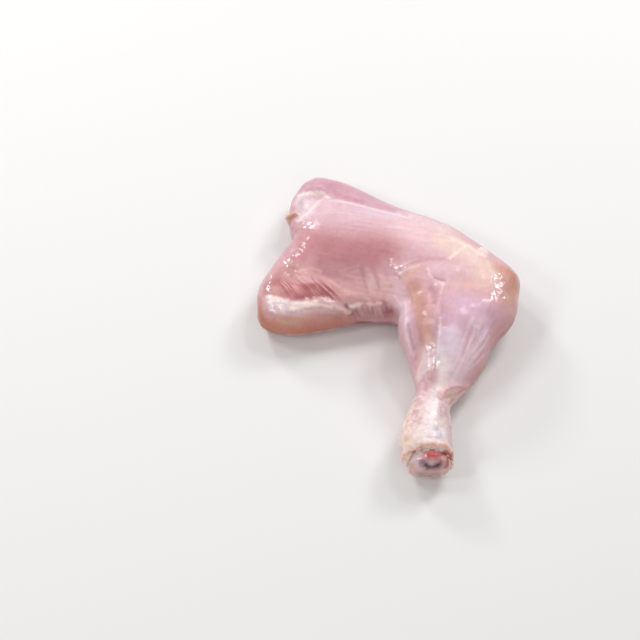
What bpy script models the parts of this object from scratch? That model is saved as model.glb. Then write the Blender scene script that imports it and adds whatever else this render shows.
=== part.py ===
"""A whole raw chicken leg, skinned down to the ankle: thigh, knee, drumstick and shank, cut off at the hock.

It lies on its inner side. The thigh runs from the hip end at -X to the knee at +X, and the drumstick from
the knee towards -Y. Units in the tables are millimetres; +Z is up and the leg rests on Z = 0.
"""

import math

import bmesh
import bpy
import numpy as np
from mathutils import Vector
from mathutils.bvhtree import BVHTree

MM = 0.001

# Driving dimensions, in millimetres
THIGH_TOP = 27.0  # thickness of the thigh lying flat
DRUMSTICK_TOP = 36.0  # thickness of the drumstick at its belly
ANKLE_TOP = 19.0  # thickness where the meat ends
HOCK_TOP = 24.0  # thickness of the knuckle at the cut end
CUT_LEAN = 25.0  # degrees that the cut end's face leans back from upright
SHANK_X = 18.0  # the middle of the shank at that face
CUT_Y, CUT_Z = -86.4, 12.0  # a point of that face
GAP = 0.4  # room all round the bone
CUTTER = 300.0  # reach of the boxes that cut, past every side of the leg

# How finely the shape is worked out, and how coarsely it is kept
FINE = 1.3  # millimetres between points while the muscles are joined
SOFTEN = 12  # rounds of smoothing over the joins
RING = 28  # sides round a muscle
BONE_RING = 20  # sides round the bone
MEAT_TRIANGLES = 9000

# Finish: colour and roughness
FLESH = ((0.62, 0.30, 0.28), 0.35)
GRISTLE = ((0.66, 0.47, 0.45), 0.3)


def clear_scene():
    for obj in list(bpy.data.objects):
        bpy.data.objects.remove(obj)


def spline(values, samples):
    """Rows of values at even steps along a Catmull-Rom curve through them."""
    v = np.asarray(values, float)
    v = np.vstack([2 * v[0] - v[1], v, 2 * v[-1] - v[-2]])
    rows = []
    for t in np.linspace(0, len(v) - 3, samples):
        i = min(int(t), len(v) - 4)
        u = t - i
        a, b, c, d = v[i : i + 4]
        rows.append(
            0.5 * (2 * b + (c - a) * u + (2 * a - 5 * b + 4 * c - d) * u * u + (3 * b - a - 3 * c + d) * u**3)
        )
    return np.array(rows)


def loft(name, slices, per_slice=6, fullness=2.2, cap=0.6, around=RING):
    """A closed body through upright slices. A slice is (near x, near y, far x, far y, low z, high z)."""
    s = spline(slices, per_slice * (len(slices) - 1) + 1)
    middle = np.column_stack([(s[:, 0] + s[:, 2]) / 2, (s[:, 1] + s[:, 3]) / 2, (s[:, 4] + s[:, 5]) / 2])
    across = np.column_stack([(s[:, 2] - s[:, 0]) / 2, (s[:, 3] - s[:, 1]) / 2, np.zeros(len(s))])
    tall = (s[:, 5] - s[:, 4]) / 2
    turn = np.linspace(0, 2 * math.pi, around, endpoint=False)
    side = np.sign(np.cos(turn)) * np.abs(np.cos(turn)) ** (2 / fullness)
    rise = np.sign(np.sin(turn)) * np.abs(np.sin(turn)) ** (2 / fullness)

    def ring(i, size, shift):
        centre = middle[i] + shift
        return [
            centre + size * (across[i] * c + np.array([0, 0, tall[i]]) * r) for c, r in zip(side, rise)
        ]

    def outward(i, step):
        way = middle[i] - middle[i + step]
        return way / np.linalg.norm(way)

    bulge = [math.radians(a) for a in (72, 50, 26)]
    first, last = outward(0, 1) * tall[0] * cap, outward(-1, -1) * tall[-1] * cap
    rings = [ring(0, math.cos(a), first * math.sin(a)) for a in bulge]
    rings += [ring(i, 1, 0) for i in range(len(s))]
    rings += [ring(-1, math.cos(a), last * math.sin(a)) for a in reversed(bulge)]

    bm = bmesh.new()
    loops = [[bm.verts.new(p * MM) for p in r] for r in rings]
    for a, b in zip(loops, loops[1:]):
        for i in range(around):
            j = (i + 1) % around
            bm.faces.new((a[i], a[j], b[j], b[i]))
    bm.faces.new(reversed(loops[0]))
    bm.faces.new(loops[-1])
    bmesh.ops.recalc_face_normals(bm, faces=bm.faces)
    return new_object(name, bm)


def belly(name, path, **options):
    """A rounded muscle along a path of (x, y, z, half width, half height)."""
    p = np.asarray(path, float)
    way = np.gradient(p[:, :2], axis=0)
    way /= np.linalg.norm(way, axis=1)[:, None]
    near = p[:, :2] + np.column_stack([way[:, 1], -way[:, 0]]) * p[:, 3:4]
    far = 2 * p[:, :2] - near
    low, high = p[:, 2] - p[:, 4], p[:, 2] + p[:, 4]
    return loft(name, np.column_stack([near, far, low, high]), **options)


def new_object(name, bm):
    mesh = bpy.data.meshes.new(name)
    bm.to_mesh(mesh)
    bm.free()
    obj = bpy.data.objects.new(name, mesh)
    bpy.context.scene.collection.objects.link(obj)
    return obj


def apply_all(obj):
    """Bakes an object's modifiers into its mesh."""
    graph = bpy.context.evaluated_depsgraph_get()
    made = bpy.data.meshes.new_from_object(obj.evaluated_get(graph))
    obj.modifiers.clear()
    obj.data = made


def fuse(name, pieces):
    """One skin round all the pieces, with their joins filled in softly."""
    bm = bmesh.new()
    for piece in pieces:
        bm.from_mesh(piece.data)
        bpy.data.objects.remove(piece)
    obj = new_object(name, bm)
    remesh = obj.modifiers.new("fuse", "REMESH")
    remesh.mode = "VOXEL"
    remesh.voxel_size = FINE * MM
    smooth = obj.modifiers.new("soften", "SMOOTH")
    smooth.factor = 0.5
    smooth.iterations = SOFTEN
    apply_all(obj)
    return obj


def thigh():
    """The flat slab of the thigh, its thick rear edge, its thin front edge and the hip corner."""
    return [
        loft(
            "thigh_slab",
            [
                (-58, 6, -37, 84, 0, THIGH_TOP - 7),
                (-46, 2, -24, 82, -2, THIGH_TOP - 2),
                (-26, 0, -5, 74, -3, THIGH_TOP),
                (-7, -2, 15, 66, -3, THIGH_TOP + 1),
                (12, -4, 35, 56, -3, THIGH_TOP + 2),
                (28, -6, 51, 41, -3, THIGH_TOP + 4),
                (46, -10, 63, 29, -1, THIGH_TOP + 4),
            ],
            cap=0.35,
        ),
        belly(
            "thigh_rear_roll",
            [
                (-62, 7, 11.5, 13, 11),
                (-51, 6, 12.5, 15.5, 12.5),
                (-34, 7, 12.5, 13.5, 12.5),
                (-16, 9, 12, 11, 11.5),
                (4, 9, 12, 11, 11),
            ],
        ),
        belly(
            "rear_corner",
            [
                (-58, -1, 11, 7, 10.5),
                (-59.5, 12, 11.5, 9.5, 11),
                (-52.5, 29, 11, 8.5, 10),
                (-44, 45, 11, 7, 10),
            ],
        ),
        belly(
            "thigh_front_edge",
            [(-38, 85, 9.5, 8, 8.5), (-24, 80.5, 9.5, 8, 8.5), (-2, 67, 10, 8, 8.5), (22, 53, 11, 7, 9)],
        ),
        belly("hip_corner", [(-48, 57, 10.5, 4, 9.5), (-45, 70, 10.5, 7.5, 10), (-38.5, 82.5, 10, 8.5, 9.5)]),
    ]


def drumstick():
    """The knee, the cone of the drumstick and the two bellies that stand out on it."""
    return [
        loft(
            "drumstick_cone",
            [
                (22, 18, 60, 31, 3, DRUMSTICK_TOP - 8),
                (8, 1, 68, 12, -2, DRUMSTICK_TOP - 4),
                (4, -11, 64.5, -6, -2, DRUMSTICK_TOP),
                (7.5, -23, 53.5, -19, -2, DRUMSTICK_TOP - 2),
                (10.5, -33, 48, -32, -1, DRUMSTICK_TOP - 7),
                (12.5, -40.5, 39.5, -42.5, 0, DRUMSTICK_TOP - 12),
                (13.5, -47, 32, -50, 1, ANKLE_TOP),
            ],
        ),
        belly("knee", [(46, 16, 15.5, 18, 16), (53, 12.5, 15.5, 18.5, 16), (58, 9.5, 15.5, 17, 15)]),
    ]


def shank():
    """The skin-covered shank, swelling to the knuckle at the hock."""
    return [
        loft(
            "shank_tube",
            [
                (14, -40, 34, -44, 1, ANKLE_TOP + 3),
                (11, -50, 30, -54, 1, ANKLE_TOP),
                (6.5, -60, 30, -64, 0.5, ANKLE_TOP + 1),
                (3.5, -70, 30, -73, 0, ANKLE_TOP + 4),
                (3.5, -77, 30.5, -79, -1, HOCK_TOP + 1),
                (5, -82, 30, -83, -1, HOCK_TOP - 2),
            ],
            cap=0.7,
        )
    ]


def tibia(name, swell=0.0):
    """The shank bone from the knuckle at the cut to its head inside the knee, thicker all round by swell."""
    path = [
        (18.2, -87.4, 11.2, 10.0, 8.3),
        (18.2, -81.0, 11.4, 9.6, 8.0),
        (18.2, -73.0, 11.2, 6.2, 5.6),
        (19.0, -65.0, 11.0, 4.2, 4.0),
        (22.5, -50.0, 11.0, 3.6, 3.6),
        (27.0, -32.0, 13.0, 3.7, 3.7),
        (32.0, -14.0, 15.0, 4.4, 4.4),
        (36.5, -2.0, 16.0, 7.6, 6.4),
        (39.5, 6.0, 16.0, 9.0, 7.4),
    ]
    wider = [(x, y, z, wide + swell, tall + swell) for x, y, z, wide, tall in path]
    return belly(name, wider, per_slice=3, cap=0.35, around=BONE_RING)


def slab(name, size, place, lean=0.0):
    """A box for cutting, leaned back about X."""
    bpy.ops.mesh.primitive_cube_add(size=1, location=Vector(place) * MM, rotation=(math.radians(lean), 0, 0))
    obj = bpy.context.object
    obj.name = name
    obj.scale = Vector(size) * MM
    bpy.context.view_layer.update()
    obj.data.transform(obj.matrix_world)
    obj.matrix_world.identity()
    return obj


# What sinks in or stands out on the fused flesh: (height, half width, path). A path's points are (x, y) on
# the upper side, or (x, y, z) anywhere else.
GROOVES = {
    "above_the_rear_edge": (-0.9, 6.0, [(-50, 18), (-30, 16), (-12, 14)]),
    "step_to_front_edge": (-1.7, 3.0, [(-46, 77, 19), (-33, 75), (-22, 71), (-9, 66), (5, 60), (18, 53)]),
    "hip_hollow": (-1.2, 5.0, [(-46, 62), (-40, 68)]),
    "behind_the_calf": (-1.3, 3.8, [(3, -4, 12), (2, -1, 18), (1, 3), (0, 9), (1, 15)]),
    "fold_at_the_knee": (-0.8, 3.0, [(11, 22), (17, 24), (25, 25.5), (33, 26), (38, 30)]),
    "calf_border": (-1.2, 2.6, [(10, 5), (12, -2), (11, -14), (12, -25), (13.5, -33), (16, -42)]),
    "shin_line": (-0.7, 2.2, [(29, 5), (29, -4), (27, -11), (25.5, -18)]),
    "inner_shin_stripe": (-0.6, 1.7, [(40, -20), (35, -33), (30, -43)]),
    "outer_shin_stripe": (-0.6, 1.7, [(47, -20), (40, -34), (33, -44)]),
    "under_the_sheath": (-1.2, 2.2, [(25, -54), (29, -50.5), (33, -48, 15), (36, -46, 12)]),
}
RIDGES = {
    "calf_band": (0.9, 3.5, [(6, 0), (6.5, -14, 25), (9, -28, 22), (12.5, -40, 17)]),
    "shin_cord": (1.2, 2.6, [(25, -16), (25, -26), (26, -36), (27, -43), (26, -50), (22, -60), (18, -72)]),
    "round_muscle": (0.9, 5.5, [(29, 17), (31, 16)]),
    "fold_lip": (0.9, 2.6, [(28, 46), (35, 38), (40, 31), (36, 24)]),
    "knee_crown": (1.3, 8.0, [(54, 0), (56, 6)]),
    "sheath_lip": (1.0, 1.8, [(25, -50), (29, -46.5), (34, -45), (39, -44, 13)]),
    "torn_skin": (0.9, 2.0, [(5, -83, 10), (7, -82, 17), (12, -80.5), (25, -80.5), (28.5, -82, 17)]),
    "hip_nub": (3.0, 2.2, [(-53, 61, 14), (-53, 62, 15)]),
    "knee_nub": (1.4, 2.0, [(49, 31, 24), (51, 30, 24)]),
}


def drop_on(tree, x, y):
    """The point of the upper side above (x, y), in metres."""
    hit = tree.ray_cast(Vector((x * MM, y * MM, 0.1)), Vector((0, 0, -1)))[0]
    return np.array(hit)


def carve(obj, strokes):
    """Pushes the skin out or in along each stroke, fading away from its path."""
    mesh = obj.data
    count = len(mesh.vertices)
    points, normals = np.empty(count * 3), np.empty(count * 3)
    mesh.vertices.foreach_get("co", points)
    mesh.vertices.foreach_get("normal", normals)
    points, normals = points.reshape(-1, 3), normals.reshape(-1, 3)
    bm = bmesh.new()
    bm.from_mesh(mesh)
    tree = BVHTree.FromBMesh(bm)
    bm.free()
    push = np.zeros(count)
    for height, width, path in strokes:
        marks = spline([p if len(p) == 3 else drop_on(tree, *p) / MM for p in path], 8 * len(path))
        near = np.full(count, np.inf)
        for a, b in zip(marks * MM, marks[1:] * MM):
            along = np.clip((points - a) @ (b - a) / ((b - a) @ (b - a)), 0, 1)
            near = np.minimum(near, np.linalg.norm(points - a - along[:, None] * (b - a), axis=1))
        push += height * MM * np.exp(-((near / (width * MM)) ** 2))
    mesh.vertices.foreach_set("co", (points + push[:, None] * normals).ravel())
    mesh.update()


def cut(obj, cutter):
    """Takes the cutter's space out of an object, and the cutter away."""
    tool = obj.modifiers.new(cutter.name, "BOOLEAN")
    tool.operation = "DIFFERENCE"
    tool.object = cutter
    apply_all(obj)
    bpy.data.objects.remove(cutter)


def coarsen(obj, triangles):
    """Keeps only so many triangles, fewest where the surface is plain."""
    bm = bmesh.new()
    bm.from_mesh(obj.data)
    bmesh.ops.triangulate(bm, faces=bm.faces)
    count = len(bm.faces)
    bm.to_mesh(obj.data)
    bm.free()
    collapse = obj.modifiers.new("coarsen", "DECIMATE")
    collapse.ratio = triangles / count
    apply_all(obj)


def foot_side():
    """All that lies past the face where the foot was cut off."""
    lean = math.radians(CUT_LEAN)
    half = HOCK_TOP
    middle = (SHANK_X, CUT_Y - half * math.cos(lean), CUT_Z + half * math.sin(lean))
    return slab("foot_side", (4 * half, 2 * half, 4 * half), middle, -CUT_LEAN)


def floor():
    """All that lies under the surface that the leg rests on."""
    return slab("floor", (CUTTER, CUTTER, CUTTER), (0, 0, -CUTTER / 2))


def paint(obj, colour, roughness):
    """Shades the object smooth and gives it its own material."""
    for polygon in obj.data.polygons:
        polygon.use_smooth = True
    material = bpy.data.materials.new(obj.name)
    material.use_nodes = True
    shader = material.node_tree.nodes["Principled BSDF"]
    shader.inputs["Base Color"].default_value = (*colour, 1)
    shader.inputs["Roughness"].default_value = roughness
    obj.data.materials.clear()
    obj.data.materials.append(material)


def settle(objects):
    """Moves the objects together so that their box stands on the origin by the middle of its underside."""
    corners = np.array([v.co for obj in objects for v in obj.data.vertices])
    low, high = corners.min(axis=0), corners.max(axis=0)
    shift = Vector((-(low[0] + high[0]) / 2, -(low[1] + high[1]) / 2, -low[2]))
    for obj in objects:
        for v in obj.data.vertices:
            v.co += shift


def build():
    clear_scene()
    meat = fuse("leg_meat", thigh() + drumstick() + shank())
    carve(meat, list(GROOVES.values()) + list(RIDGES.values()))
    coarsen(meat, MEAT_TRIANGLES)
    cut(meat, foot_side())
    cut(meat, tibia("bone_way", GAP))
    cut(meat, floor())
    bone = tibia("shank_bone")
    settle([meat, bone])
    paint(meat, *FLESH)
    paint(bone, *GRISTLE)


build()
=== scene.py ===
import math

import bmesh
import bpy
import numpy as np
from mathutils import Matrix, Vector, noise
from mathutils.bvhtree import BVHTree


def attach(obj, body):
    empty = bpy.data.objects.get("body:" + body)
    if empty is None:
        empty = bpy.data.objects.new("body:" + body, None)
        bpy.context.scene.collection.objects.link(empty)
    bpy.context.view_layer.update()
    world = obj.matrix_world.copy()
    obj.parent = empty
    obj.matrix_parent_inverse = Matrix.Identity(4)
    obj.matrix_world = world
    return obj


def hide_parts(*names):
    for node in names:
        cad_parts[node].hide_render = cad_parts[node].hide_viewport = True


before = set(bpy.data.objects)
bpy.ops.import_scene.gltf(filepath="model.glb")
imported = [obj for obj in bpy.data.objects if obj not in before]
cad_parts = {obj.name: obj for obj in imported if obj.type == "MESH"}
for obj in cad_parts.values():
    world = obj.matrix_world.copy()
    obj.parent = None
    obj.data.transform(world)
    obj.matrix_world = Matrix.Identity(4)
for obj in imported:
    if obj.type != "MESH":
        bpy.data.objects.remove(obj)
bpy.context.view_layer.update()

# ----------------------------------------------------------
# The meat: thigh, knee, drumstick and skin-covered shank, one soft body of raw muscle under a wet membrane.
# It is the frame's solid worked up finer. Its sinews, folds and fat are pushed out of its surface in
# millimetres, and its colours are laid over each other along the same kind of strokes.
# ----------------------------------------------------------
MM = 0.001
MEAT_GRAIN = 0.64  # millimetres between the points of the meat
MEAT_SOFTENING = 14
MEAT_TRIANGLES = 194_000
BASE = 1.6  # below this height the meat lies on the table, so it needs few points
SAME_POINT = 1e-6  # metres

DOWN, INWARD = Vector((0, 0, -1)), Vector((0, 1, 0))


def finer_copy(node, name, grain, softening):
    """A copy of a frame node with an even, fine and smooth mesh."""
    piece = bpy.data.objects.new(name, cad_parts[node].data.copy())
    bpy.context.scene.collection.objects.link(piece)
    piece.data.materials.clear()
    bpy.ops.object.select_all(action="DESELECT")
    piece.select_set(True)
    bpy.context.view_layer.objects.active = piece
    bpy.ops.object.mode_set(mode="EDIT")
    bpy.ops.mesh.select_all(action="SELECT")
    bpy.ops.mesh.remove_doubles(threshold=SAME_POINT)
    bpy.ops.object.mode_set(mode="OBJECT")
    even_out(piece, grain, softening)
    return piece


def even_out(piece, grain, softening):
    bpy.context.view_layer.objects.active = piece
    bpy.ops.object.modifier_add(type="REMESH")
    piece.modifiers[-1].mode = "VOXEL"
    piece.modifiers[-1].voxel_size = grain * MM
    bpy.ops.object.modifier_apply(modifier=piece.modifiers[-1].name)
    bpy.ops.object.modifier_add(type="SMOOTH")
    piece.modifiers[-1].iterations = softening
    bpy.ops.object.modifier_apply(modifier=piece.modifiers[-1].name)
    bpy.ops.object.shade_smooth()


def thin_out(piece, below, triangles):
    """Takes points out of the flat underside until the piece is down to so many triangles."""
    group = piece.vertex_groups.new(name="base")
    group.add([v.index for v in piece.data.vertices if v.co.z < below * MM], 1.0, "REPLACE")
    piece.data.calc_loop_triangles()
    bpy.ops.object.modifier_add(type="DECIMATE")
    thinner = piece.modifiers[-1]
    thinner.vertex_group = group.name
    thinner.ratio = triangles / len(piece.data.loop_triangles)
    bpy.ops.object.modifier_apply(modifier=thinner.name)
    piece.vertex_groups.clear()


def curve_through(marks, step):
    """Points about step millimetres apart on a smooth curve through the marks."""
    v = np.array(marks, float)
    v = np.vstack([2 * v[0] - v[1], v, 2 * v[-1] - v[-2]])
    out = []
    for a, b, c, d in zip(v, v[1:], v[2:], v[3:]):
        for u in np.linspace(0, 1, max(2, int(np.linalg.norm(c - b) / step)), endpoint=False):
            bend = (2 * a - 5 * b + 4 * c - d) * u * u + (3 * b - a - 3 * c + d) * u**3
            out.append(0.5 * (2 * b + (c - a) * u + bend))
    out.append(v[-2])
    return np.array(out)


def linear(colour):
    """A colour as it looks, 0 to 255, as the shaders take it."""
    c = np.clip(np.asarray(colour, float) / 255, 0, 1)
    return np.where(c <= 0.04045, c / 12.92, ((c + 0.055) / 1.055) ** 2.4)


class Surface:
    """A piece's surface, worked in millimetres: how far each point is pushed out, and its colour."""

    def __init__(self, piece, colour, reached=DOWN):
        count = len(piece.data.vertices)
        flat = np.empty(count * 3, np.float32)
        piece.data.vertices.foreach_get("co", flat)
        self.points = flat.reshape(-1, 3).astype(float) / MM
        piece.data.vertices.foreach_get("normal", flat)
        self.out = flat.reshape(-1, 3).astype(float)
        mesh = bmesh.new()
        mesh.from_mesh(piece.data)
        self.tree = BVHTree.FromBMesh(mesh)
        mesh.free()
        self.piece = piece
        self.reached = reached
        self.lift = np.zeros(count)
        self.colour = np.tile(np.array(colour, float), (count, 1))
        self.ragged = 0.75 * self.clouds(2.4, 1) + 0.4 * self.clouds(0.9, 2)

    def on_it(self, mark):
        """A mark on the surface: two numbers are dropped on it from above or from the front, three go to
        the nearest point of it."""
        if len(mark) == 3:
            return self.tree.find_nearest(Vector(mark) * MM)[0] / MM
        start = (mark[0], mark[1], 100) if self.reached is DOWN else (mark[0], -150, mark[1])
        return self.tree.ray_cast(Vector(start) * MM, self.reached)[0] / MM

    def near(self, path, reach, edge=2.0, wander=0.0):
        """1 on the path, fading to 0 about reach millimetres off it; a high edge keeps it full almost to
        there, and wander makes the edge ragged by so many millimetres."""
        line = curve_through([self.on_it(mark) for mark in path], max(0.7, reach / 3))
        room = 2.4 * reach + 1.5 * wander
        boxed = (self.points > line.min(0) - room) & (self.points < line.max(0) + room)
        inside = np.flatnonzero(boxed.all(axis=1))
        p = self.points[inside]
        gap = np.full(len(p), np.inf)
        for a, b in zip(line, line[1:]):
            ab = b - a
            away = p - a - np.clip((p - a) @ ab / (ab @ ab + 1e-9), 0, 1)[:, None] * ab
            gap = np.minimum(gap, (away * away).sum(axis=1))
        gap = np.maximum(np.sqrt(gap) + wander * self.ragged[inside], 0)
        out = np.zeros(len(self.points))
        out[inside] = np.exp(-((gap / reach) ** edge))
        return out

    def push(self, height, reach, path, edge=2.0, wander=0.0, through=1.0):
        self.lift += height * through * self.near(path, reach, edge, wander)

    def lay(self, colour, strength, reach, path, edge=2.0, wander=0.0, through=1.0):
        much = strength * through * self.near(path, reach, edge, wander)
        self.colour += (np.array(colour, float) - self.colour) * np.clip(much, 0, 1)[:, None]

    def push_each(self, strokes):
        for stroke in strokes:
            self.push(*stroke)

    def lay_each(self, strokes):
        for stroke in strokes:
            self.lay(*stroke)

    def wash(self, colour, much):
        """Lays a colour over the whole surface, as much of it as the mask says."""
        self.colour += (np.array(colour, float) - self.colour) * np.clip(much, 0, 1)[:, None]

    def clouds(self, size, seed):
        """Soft random blotches from about -1 to 1, each about size millimetres across."""
        shift = np.array([seed * 17.3, seed * 5.1, seed * 9.7])
        return 1.7 * np.array([noise.noise(p) for p in (self.points / size + shift).tolist()])

    def finish(self, wet=0.0, pucker=0.0, grain=None):
        """Moves the points, never through the table, and stores their colours, how wet and how puckered
        they are, and their place across and along the grain with how much of it shows."""
        moved = self.points + self.lift[:, None] * self.out
        moved[:, 2] = np.maximum(moved[:, 2], 0)
        self.piece.data.vertices.foreach_set("co", (moved * MM).astype(np.float32).ravel())
        self.piece.data.update()
        rgba = np.column_stack([linear(self.colour), np.ones(len(moved))])
        tint = self.piece.data.attributes.new("tint", "FLOAT_COLOR", "POINT")
        tint.data.foreach_set("color", rgba.astype(np.float32).ravel())
        for name, values in (("wet", wet), ("pucker", pucker)):
            stored = self.piece.data.attributes.new(name, "FLOAT", "POINT")
            stored.data.foreach_set("value", (values + np.zeros(len(moved))).astype(np.float32))
        if grain:
            fibres = self.piece.data.attributes.new("grain", "FLOAT_VECTOR", "POINT")
            fibres.data.foreach_set("vector", np.column_stack(grain).astype(np.float32).ravel())


def streaks(across, along, width, length, seed):
    """Soft lines from 0 to 1, width millimetres wide across the grain of the meat and length long."""
    marks = zip((across / width).tolist(), (along / length).tolist())
    return np.clip(0.5 + 1.3 * np.array([noise.noise((a, b, seed * 7.3)) for a, b in marks]), 0, 1)


meat_piece = finer_copy("leg_meat", "meat", MEAT_GRAIN, MEAT_SOFTENING)
thin_out(meat_piece, BASE, MEAT_TRIANGLES)

PINK = (222, 178, 186)

# The thigh runs into the drumstick's head in a soft hollow, so the mesh is relaxed there
RELAXING = 260  # passes of smoothing
FAINTEST = 0.01  # a smaller share of the smoothing is left out
hollow = meat_piece.vertex_groups.new(name="hollow")
draft = Surface(meat_piece, PINK)
relaxed = draft.near([(9, 12, 26), (13, 6, 26), (14, -1, 27), (14, -8, 26)], 8, 4)
relaxed = np.maximum(relaxed, draft.near([(35.7, -13.2, 35.4), (44, -9.2, 34.8), (52.1, -3.8, 33.1)], 8, 4))
for index, share in enumerate(relaxed.tolist()):
    if share > FAINTEST:
        hollow.add([index], share, "REPLACE")
bpy.ops.object.modifier_add(type="SMOOTH")
meat_piece.modifiers[-1].vertex_group = hollow.name
meat_piece.modifiers[-1].iterations = RELAXING
bpy.ops.object.modifier_apply(modifier=meat_piece.modifiers[-1].name)
meat_piece.vertex_groups.clear()

meat = Surface(meat_piece, PINK)
x, y, z = meat.points.T

# The grain of the muscles: how far each point is round the shin bone and along it, and the same for the
# thigh, whose muscles lie across the hip-to-knee line
GRAIN_STEP = 1.5  # millimetres between the places along each line
SHIN_BONE = [(48, 24, 17), (40, 4, 17), (31, -22, 16), (24, -48, 12), (19, -68, 11), (17, -92, 11)]
SHIN = curve_through(SHIN_BONE, GRAIN_STEP)
THIGH = curve_through([(-50, 40, 13), (-20, 38, 14), (10, 32, 15), (30, 26, 16)], GRAIN_STEP)
TURN = 14.0  # millimetres across the grain for each radian round the shin


def nearest_on(line):
    """For each point of the meat, the nearest place on a line and how far off it is."""
    near, gap = np.zeros(len(meat.points), int), np.full(len(meat.points), np.inf)
    for index, place in enumerate(line):
        off = np.linalg.norm(meat.points - place, axis=1)
        near[off < gap] = index
        gap = np.minimum(gap, off)
    return near, gap


near_shin, off_shin = nearest_on(SHIN)
off_thigh = nearest_on(THIGH)[1]
tangent = np.gradient(SHIN, axis=0)
tangent /= np.linalg.norm(tangent, axis=1)[:, None]
away = meat.points - SHIN[near_shin]
side = np.cross(tangent, (0, 0, 1))
side /= np.linalg.norm(side, axis=1)[:, None]
upward = np.cross(side, tangent)
turned = np.arctan2((away * side[near_shin]).sum(1), (away * upward[near_shin]).sum(1))
shin_across = TURN * turned
shin_along = near_shin * GRAIN_STEP + (away * tangent[near_shin]).sum(1)
THIGH_LEAN = math.radians(-14)
THIGH_TOP, THIGH_CREST = 26, 36  # its height, and where across it the muscles roll over
HEAD_EDGE = -12  # nearer than this everything is drumstick
thigh_along = x * math.cos(THIGH_LEAN) + y * math.sin(THIGH_LEAN)
thigh_across = y * math.cos(THIGH_LEAN) - x * math.sin(THIGH_LEAN)
thigh_across = thigh_across + (THIGH_TOP - z) * np.clip((thigh_across - THIGH_CREST) / 10, -1, 1)
on_drumstick = 1 / (1 + np.exp((off_shin - off_thigh - 1) / 2.0))
on_drumstick[y < HEAD_EDGE] = 1

blotchy = meat.clouds(9.0, 3)
lumpy = meat.clouds(4.5, 4)
specks = meat.clouds(1.3, 5)
thigh_lines = streaks(thigh_across, thigh_along, 1.9, 24, 1)
shin_lines = streaks(shin_across, shin_along, 1.5, 30, 2)
fine_lines = streaks(shin_across, shin_along, 0.8, 22, 3)
UNDER = 1 - np.clip((meat.out[:, 2] + 0.55) / 0.4, 0, 1)

# ---- Form: what stands out and sinks in, in millimetres ----
meat.lift += 0.12 * blotchy + 0.08 * lumpy
meat.lift += 0.10 * (shin_lines - 0.5) * on_drumstick + 0.10 * (thigh_lines - 0.5) * (1 - on_drumstick)
# thigh: the left slope, filled out and dimpled where it shines, and the step down to the far muscle
meat.push(1.0, 4.5, [(-42.7, 41.6), (-45.3, 34.2), (-48.9, 27.3)], 3)
DIMPLES = (
    [(-45.3, 38.2), (-43.7, 38.5)],
    [(-48.4, 32.4), (-46.9, 32.9)],
    [(-52.1, 23.8), (-52.1, 25.9), (-51.3, 29.8)],
)
for dimple in DIMPLES:
    meat.push(0.5, 1.5, dimple, wander=0.2)
meat.push_each([
    (0.6, 3.4, [(-44.4, 57.1), (-43.6, 56.2)]),
    (-0.14, 0.7, [(-43.8, 50.8), (-42.2, 51.5), (-40.6, 52.5)], 2, 0.3),
    (-0.5, 1.3, [(-43, 77), (-33, 74.5), (-22, 70.5), (-9, 65.5), (3, 61), (14, 55)]),
    (0.35, 1, [(-34, 71), (-22, 67.5), (-9, 63), (2, 59.5), (12, 55)]),
    # the white membrane at the hip, raised at its edges and veined
    (0.4, 1.1, [(-47.2, 74.8), (-44, 75.1), (-39.1, 76.4), (-34.7, 76.4), (-31.4, 73.8)], 2, 0.4),
    (0.4, 1, [(-46.5, 55.1), (-44.9, 58.2), (-41.7, 61.3), (-38.5, 64.5), (-35.8, 68.5),
        (-32, 72.4)], 2, 0.4),
    (0.3, 5, [(-45, 69), (-44, 63)], 2, 0, np.clip(0.5 + lumpy, 0, 1)),
    (0.35, 0.8, [(-49.8, 51.1, 16), (-48.1, 53.7), (-46.5, 55.8)]),
])
# the bundles of the rear muscle, which fan out under the peach membrane
BUNDLE_RUN = np.array((8, -11)) / math.hypot(8, 11)
across_bundles = -x * BUNDLE_RUN[1] + y * BUNDLE_RUN[0] + 0.25 * lumpy + 0.012 * (x + 42) * (y - 5)
along_bundles = x * BUNDLE_RUN[0] + y * BUNDLE_RUN[1]
bundles = streaks(across_bundles, along_bundles, 0.85, 24, 5)
BUNDLE_PLACE = [(-52.9, 10.6), (-48.3, 12.6), (-43.1, 12.6), (-37.9, 10.8), (-33.2, 9), (-29.1, 5.2)]
uneven = np.clip(1.4 * np.clip(0.75 + 0.8 * meat.clouds(5, 21), 0.15, 1), 0, 1)
ridges = uneven * np.clip(4 * (bundles - 0.62), 0, 1)
meat.push(0.13, 6.5, BUNDLE_PLACE, 3, through=bundles - 0.5)
PEACH_ARC = [
    (-51, 22.3), (-46.8, 21.2), (-42.1, 19.4), (-37.4, 17.5), (-32.7, 15.2), (-29.1, 12.1), (-26.5, 7.9),
]
meat.push(0.16, 1.0, PEACH_ARC, wander=0.4)
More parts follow.
